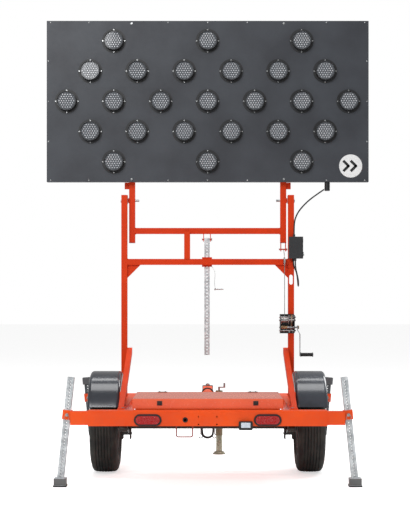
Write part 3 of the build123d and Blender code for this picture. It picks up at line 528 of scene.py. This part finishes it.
def cords():
    r = settings().cable_radius
    route = from_bumper([
        (0.884, 1.209, 2.080), (0.829, 1.206, 2.043), (0.762, 1.198, 1.993), (0.705, 1.186, 1.934),
        (0.673, 1.172, 1.886), (0.657, 1.162, 1.838), (0.653, 1.1585, 1.790), (0.653, 1.1585, 1.737)])
    tube, path = to_tube(wire("display_cable_jacket", route, r, "cable_black", None))
    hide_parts("display_cable")
    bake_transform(tube)
    route = from_bumper([
        (0.649, 1.1765, 1.536), (0.649, 1.1765, 1.500), (0.671, 1.181, 1.460), (0.681, 1.208, 1.418),
        (0.685, 1.208, 1.377), (0.685, 1.176, 1.347), (0.684, 1.128, 1.347), (0.681, 1.092, 1.386),
        (0.671, 1.104, 1.440), (0.661, 1.1385, 1.492), (0.661, 1.1385, 1.536)])
    loop = wire("power_lead_jacket", route, r, "cable_black", "root")
    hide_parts("power_lead")
    tow_lead(r)
    rope = settings().rope_radius
    sheave = [(a + b) / 2 for a, b in zip(*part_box("sheave"))]
    back = sheave[1] - REAR_Y - 0.0245
    route = from_bumper([
        (0.580, back, 1.090), (0.580, back, 1.300), (0.580, back, 1.500), (0.580, back, 1.543),
        (0.580, back + 0.0185, 1.577), (0.580, back + 0.06, 1.598), (0.580, 1.2545, 1.627)])
    tube, path = to_tube(wire("winch_wire_rope", route, rope, "bare_wire", None))
    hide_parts("winch_rope")
    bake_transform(tube)


def tow_lead(r):
    """The wiring lead: out of the cross tube, twice round over the tongue, and into its plug."""
    low, high = (Vector(v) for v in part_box("tow_lead_coil"))
    route = from_bumper([(-0.075, 1.5016, 0.487), (-0.075, 1.545, 0.487), (-0.070, 1.590, 0.484),
                         (-0.058, 1.628, 0.477), (-0.0535, 1.660, 0.472)])
    top, bottom, half = high.z - r - MM, low.z + r + MM, high.x - r - MM
    turns, steps = 2, 14
    for k in range(turns * steps + 1):
        a = pi + 2 * pi * k / steps
        t = k / (turns * steps)
        grow = 0.93 + 0.07 * cos(5 * t)
        x = half * grow * cos(a)
        z = (top + bottom) / 2 + ((top - bottom) / 2 - half) * max(-1, min(1, 3.2 * sin(a))) \
            + half * sin(a) * grow
        route.append((x, low.y + r + (high.y - low.y - 2 * r) * t, z))
    plug = [(a + b) / 2 for a, b in zip(*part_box("tow_plug"))]
    plug_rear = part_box("tow_plug")[0][1]
    route += [(-0.0535, plug_rear - 0.012, 0.30), (plug[0], plug_rear, plug[2])]
    lead = wire("tow_lead_jacket", route, r, "cable_black", "root")
    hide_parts("tow_lead", "tow_lead_coil")


def winch_details():
    drum_low, drum_high = (Vector(v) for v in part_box("winch_drum"))
    drum = (drum_low + drum_high) / 2
    crank_high = Vector(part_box("winch_crank")[1])
    shaft_y, shaft_z = REAR_Y + 1.140, 1.035
    bm = bmesh.new()
    for k in range(30):
        a = 2 * pi * k / 30
        slab(bm, (0.0095, 0.0032, 0.005), (0.630, drum.y + 0.0385 * cos(a), drum.z + 0.0385 * sin(a)),
             Matrix.Rotation(a - pi / 2, 4, "X"))
    finish_mesh(bm, "winch_gear_teeth", "chromate", "winch_drum", 30)
    bm = bmesh.new()
    for k in range(11):
        disc(bm, "X", 0.0185, 0.0044, (0.5572 + 0.0046 * k, drum.y, drum.z), 20)
    finish_mesh(bm, "winch_rope_winding", "bare_wire", "winch_drum", 60)
    bm = bmesh.new()
    bolt_y = REAR_Y + 1.094
    for z in (1.012, 1.112):
        disc(bm, "X", 0.004, 0.126, (0.600, bolt_y, z), 12)
        for x in (0.5415, 0.6585):
            disc(bm, "X", 0.0075, 0.005, (x, bolt_y, z), 6)
    for x in (0.618, 0.648):
        for z in (1.000, 1.122):
            disc(bm, "Y", 0.0065, 0.005, (x, REAR_Y + 1.1855, z), 6)
    finish_mesh(bm, "winch_bolts", "zinc", "root", 30, 0.0006)
    bm = bmesh.new()
    disc(bm, "X", 0.0105, 0.048, (0.576, shaft_y, shaft_z), 24)
    disc(bm, "X", 0.014, 0.008, (crank_high.x - 0.112, shaft_y, shaft_z), 6)
    finish_mesh(bm, "winch_shaft_spacer", "chromate", "winch_crank", 40)
    low, high = (Vector(v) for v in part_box("winch_grip"))
    middle = (low + high) / 2
    bm = bmesh.new()
    n = 9
    for k in range(n):
        x = low.x + 0.013 + (high.x - low.x - 0.026) * k / (n - 1)
        disc(bm, "X", 0.0142, 0.005, (x, middle.y, middle.z), 24)
    finish_mesh(bm, "winch_grip_ribs", "black_rubber", "winch_grip", 60, 0.0015)


def bumper_details():
    """Reflector blocks in the tail lights, the plate lamp's window, hinges, latches and reflectors."""
    low, high = (Vector(v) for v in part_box("plate_lamp"))
    middle = (low + high) / 2
    bm = bmesh.new()
    slab(bm, (0.063, 0.003, 0.035), (middle.x, low.y + 0.0013, middle.z + 0.004))
    finish_mesh(bm, "plate_lamp_window", "clear_lens", "root", 30, 0.001)
    lid_low, lid_high = (Vector(v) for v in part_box("battery_lid"))
    bm = bmesh.new()
    for s in (-1, 1):
        slab(bm, (0.07, 0.03, 0.003), (s * 0.325, lid_high.y - 0.03, lid_high.z + 0.0012))
        for k in (-1, 1):
            dome(bm, 0.006, (s * 0.325 + k * 0.02, lid_high.y - 0.03, lid_high.z + 0.003), 0.6)
        slab(bm, (0.034, 0.004, 0.03), (s * 0.325, lid_low.y - 0.0018, lid_high.z - 0.03))
        disc(bm, "Y", 0.009, 0.01, (s * 0.325, lid_low.y - 0.005, lid_high.z - 0.03), 20)
    finish_mesh(bm, "lid_latches", "axle_black", "battery_lid", 40, 0.0006)
    bm = bmesh.new()
    low, high = (Vector(v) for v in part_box("tail_light_lenses"))
    middle_z = (low.z + high.z) / 2
    for s in (-1, 1):
        for k in range(-2, 3):
            for j in (-1, 1):
                place = (s * 0.4 + k * 0.024, low.y - 0.0006, middle_z + j * 0.0125)
                disc(bm, "Y", 0.0095, 0.003, place, 20, 0.005)
    finish_mesh(bm, "tail_light_optics", "red_lens", "root", 30)


def weld_and_caps():
    """Weld beads at the mast joints, tube caps, pull pins at the outrigger sleeves, box fittings."""
    bm = bmesh.new()
    for s in (-1, 1):
        post = s * 0.633
        for z in (1.5075, 1.5525):
            disc(bm, "Y", 0.004, 0.045, (s * 0.609, REAR_Y + 1.215, z), 8)
        for z in (1.7445, 1.7895):
            disc(bm, "Y", 0.004, 0.045, (s * 0.5525, REAR_Y + 1.2625, z), 8)
        disc(bm, "X", 0.004, 0.045, (post, REAR_Y + 1.1925, 0.512), 8)
    finish_mesh(bm, "mast_weld_beads", "mast_orange", "root", 60)
    bm = bmesh.new()
    for s in (-1, 1):
        slab(bm, (0.0455, 0.0455, 0.004), (s * 0.5765, REAR_Y + 1.2625, BOARD_HIGH.z - 0.0065))
        slab(bm, (0.0455, 0.0455, 0.004), (s * 0.5765, REAR_Y + 1.2625, 1.677))
    finish_mesh(bm, "upright_caps", "black_plastic", "tilt_board", 30, 0.0015)
    for end, inset in (("rear", 0.0335), ("front", 0.0325)):
        for name, s in (("left", -1), ("right", 1)):
            lock_pin(f"{end}_{name}", s, inset)


def lock_pin(corner, s, inset):
    """The pull pin and its ring on one leg sleeve, found from the sleeve's own corner of the box."""
    low, high = (Vector(v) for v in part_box(corner + "_arm"))
    x = high.x - inset if s > 0 else low.x + inset
    face, z = low.y + 0.0145, high.z - inset
    bm = bmesh.new()
    disc(bm, "Y", 0.0062, 0.024, (x, face - 0.008, z), 16)
    disc(bm, "Y", 0.011, 0.006, (x, face - 0.003, z), 20)
    finish_mesh(bm, corner + "_lock_pin", "zinc", corner + "_arm", 40)
    turns = [2 * pi * k / 12 for k in range(12)]
    ring = [(x + 0.017 * sin(a), face - 0.0185, z - 0.017 + 0.017 * cos(a)) for a in turns]
    wire(corner + "_pull_ring", ring, 0.0015, "bare_wire", corner + "_arm", True)


def foot_paint():
    """Grey enamel blocks over the feet, with a dark lower edge on the two that stand."""
    for end in ("rear", "front"):
        for name, s in (("left", -1), ("right", 1)):
            body = f"{end}_{name}_leg"
            low, high = (Vector(v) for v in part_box(body))
            middle_y = (low.y + high.y) / 2
            edge = high.x if s > 0 else low.x
            bm = bmesh.new()
            if end == "rear":
                slab(bm, (0.081, 0.081, 0.046), (edge - s * 0.044, middle_y, 0.0335))
                finish_mesh(bm, body + "_foot_block", "foot_grey", body, 30, 0.002)
                bm = bmesh.new()
                slab(bm, (0.0885, 0.0885, 0.0098), (edge - s * 0.044, middle_y, 0.0051))
                finish_mesh(bm, body + "_foot_pad", "black_rubber", body, 30, 0.001)
            else:
                lean = Matrix.Rotation(s * radians(5), 4, "Y")
                slab(bm, (0.067, 0.067, 0.053), (edge - s * 0.0355, middle_y, high.z - 0.0289), lean)
                finish_mesh(bm, body + "_foot_block", "foot_grey", body, 30, 0.002)


def clevis_pins():
    """Bright heads and split pins on the rope clevis and the lock bar clevis."""
    bm = bmesh.new()
    y = (BOARD_HIGH.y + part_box("tilt_frame")[1][1]) / 2
    for x, z, half in ((-0.005, 1.7025, 0.037), (0.5765, 1.627, 0.030)):
        for s in (-1, 1):
            disc(bm, "X", 0.0085, 0.004, (x + s * half, y, z), 20)
        disc(bm, "Z", 0.0015, 0.024, (x + half - 0.004, y, z), 8)
    finish_mesh(bm, "clevis_pin_heads", "zinc", "tilt_board", 40)


def box_fittings():
    low, high = (Vector(v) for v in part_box("control_door"))
    bm = bmesh.new()
    slab(bm, (0.006, 0.016, 0.03), (high.x - 0.001, low.y + 0.014, low.z + 0.035))
    disc(bm, "X", 0.007, 0.01, (high.x + 0.001, low.y + 0.014, low.z + 0.028), 20)
    finish_mesh(bm, "control_door_latch", "zinc", "control_door", 40, 0.0008)
    bm = bmesh.new()
    for z in (low.z + 0.03, high.z - 0.03):
        disc(bm, "Z", 0.0045, 0.03, (high.x - 0.0015, high.y - 0.0015, z), 14)
    finish_mesh(bm, "control_door_hinges", "axle_black", "control_door", 40)
    points = from_bumper([(0.0255, 1.2300, 1.500), (0.045, 1.215, 1.482), (0.058, 1.205, 1.44),
                          (0.052, 1.2, 1.39), (0.0515, 1.2, 1.345), (0.061, 1.203, 1.325)])
    wire("lock_pin_lanyard", points, 0.0012, "bare_wire", "root")
    bm = bmesh.new()
    disc(bm, "X", 0.0045, 0.07, (0.085, REAR_Y + 1.203, 1.3225), 12)
    disc(bm, "X", 0.009, 0.006, (0.055, REAR_Y + 1.203, 1.3225), 16)
    finish_mesh(bm, "hanging_lock_pin", "zinc", "root", 40)


# ---------------------------------------------------------------- stage

def make_stage():
    scene = bpy.context.scene
    scene.view_settings.view_transform = "Standard"
    mesh = bpy.data.meshes.new("studio_floor")
    bm = bmesh.new()
    bmesh.ops.create_grid(bm, x_segments=1, y_segments=1, size=40.0)
    bm.to_mesh(mesh)
    bm.free()
    floor = bpy.data.objects.new("studio_floor", mesh)
    scene.collection.objects.link(floor)
    mat, tree, bsdf, coords = start("pale_studio_floor", Roughness=0.85, Specular_IOR_Level=0.1)
    bsdf.inputs["Base Color"].default_value = (*settings().floor_colour, 1)
    seen = node(tree, "ShaderNodeLightPath")
    glow = node(tree, "ShaderNodeMath", {"operation": "MULTIPLY"}, i0=(seen, "Is Camera Ray"),
                i1=settings().floor_glow)
    bsdf.inputs["Emission Color"].default_value = (1, 1, 1, 1)
    tree.links.new(glow.outputs["Value"], bsdf.inputs["Emission Strength"])
    mesh.materials.append(mat)
    world = bpy.data.worlds.new("soft_studio")
    scene.world = world
    world.use_nodes = True
    sky = world.node_tree
    seen = node(sky, "ShaderNodeLightPath")
    level = node(sky, "ShaderNodeMapRange", None, Value=(seen, "Is Camera Ray"))
    level.inputs["To Min"].default_value = settings().sky_light
    level.inputs["To Max"].default_value = 1.0
    sky.nodes["Background"].inputs["Color"].default_value = (1, 1, 1, 1)
    sky.links.new(level.outputs["Result"], sky.nodes["Background"].inputs["Strength"])
    for name, place, aim, size, power in (
            ("key_softbox", (-3.0, -7.5, 6.0), (0, 0, 1.6), 4.0, 360),
            ("top_softbox", (0.0, 1.0, 7.5), (0, 0, 1.0), 5.0, 330),
            ("rim_softbox", (4.5, 3.5, 4.0), (0, 0, 1.4), 3.0, 150)):
        light = bpy.data.lights.new(name, "AREA")
        light.size = size
        light.energy = power
        lamp = bpy.data.objects.new(name, light)
        lamp.location = place
        lamp.rotation_euler = (Vector(aim) - Vector(place)).to_track_quat("-Z", "Y").to_euler()
        scene.collection.objects.link(lamp)
    camera = bpy.data.cameras.new("camera")
    camera.lens, camera.sensor_width = 92.5, 36.0
    camera.shift_x, camera.shift_y = -0.0053, 0.073
    camera.clip_end = 100.0
    eye = bpy.data.objects.new("camera", camera)
    eye.location = (0.0, REAR_Y - settings().camera_distance, 1.317)
    eye.rotation_euler = (pi / 2, 0, 0)
    scene.collection.objects.link(eye)
    scene.camera = eye


# ---------------------------------------------------------------- operators

def operator(idname, label, doc, work):
    """One add-on operator that makes a group of pieces."""
    def execute(self, context):
        work()
        return {"FINISHED"}
    return type("TRAILER_OT_" + idname, (bpy.types.Operator,), {
        "__doc__": doc, "bl_idname": "trailer." + idname, "bl_label": label, "execute": execute})


STEPS = (
    operator("stage", "Stage", "Floor, soft lights and camera", make_stage),
    operator("finishes", "Finishes", "Make every material", lambda: make_materials(settings())),
    operator("cad_nodes", "Paint nodes", "Give each CAD node its finish", paint_cad_nodes),
    operator("cords", "Cords", "Display cable, power lead, tow lead and winch rope", cords),
    operator("lamps", "Lamps", "LED domes, lens faces and hood lips", lamp_leds),
    operator("board_trim", "Board trim", "Screws, stiffeners, decal and connector", board_trim),
    operator("tyres", "Tyres", "Ribbed tyres, nuts and sidewall rings", tyres),
    operator("winch", "Winch", "Gear teeth, winding, bolts and grip ribs", winch_details),
    operator("bumper", "Bumper", "Lamp windows, latches and optics", bumper_details),
    operator("welds", "Welds and caps", "Weld beads, caps, pins and rings", weld_and_caps),
    operator("foot_paint", "Feet", "Grey enamel on the leg feet", foot_paint),
    operator("clevis_pins", "Clevis pins", "Bright pin heads on both clevises", clevis_pins),
    operator("box_fittings", "Box fittings", "Door latch, hinges, lanyard and lock pin", box_fittings),
)


class TRAILER_PT_panel(bpy.types.Panel):
    """Lists the trailer's operators and settings"""
    bl_label = "Arrow board trailer"
    bl_space_type = "VIEW_3D"
    bl_region_type = "UI"
    bl_category = "Trailer"

    def draw(self, context):
        for step in STEPS:
            self.layout.operator(step.bl_idname)
        for name in TrailerSettings.__annotations__:
            self.layout.prop(context.scene.trailer, name)


CLASSES = (TrailerSettings, *STEPS, TRAILER_PT_panel)


def register():
    for item in CLASSES:
        bpy.utils.register_class(item)
    bpy.types.Scene.trailer = PointerProperty(type=TrailerSettings)


def unregister():
    del bpy.types.Scene.trailer
    for item in reversed(CLASSES):
        bpy.utils.unregister_class(item)


def main():
    register()
    for step in STEPS:
        getattr(bpy.ops.trailer, step.bl_idname.split(".")[1])()


if __name__ == "__main__":
    main()
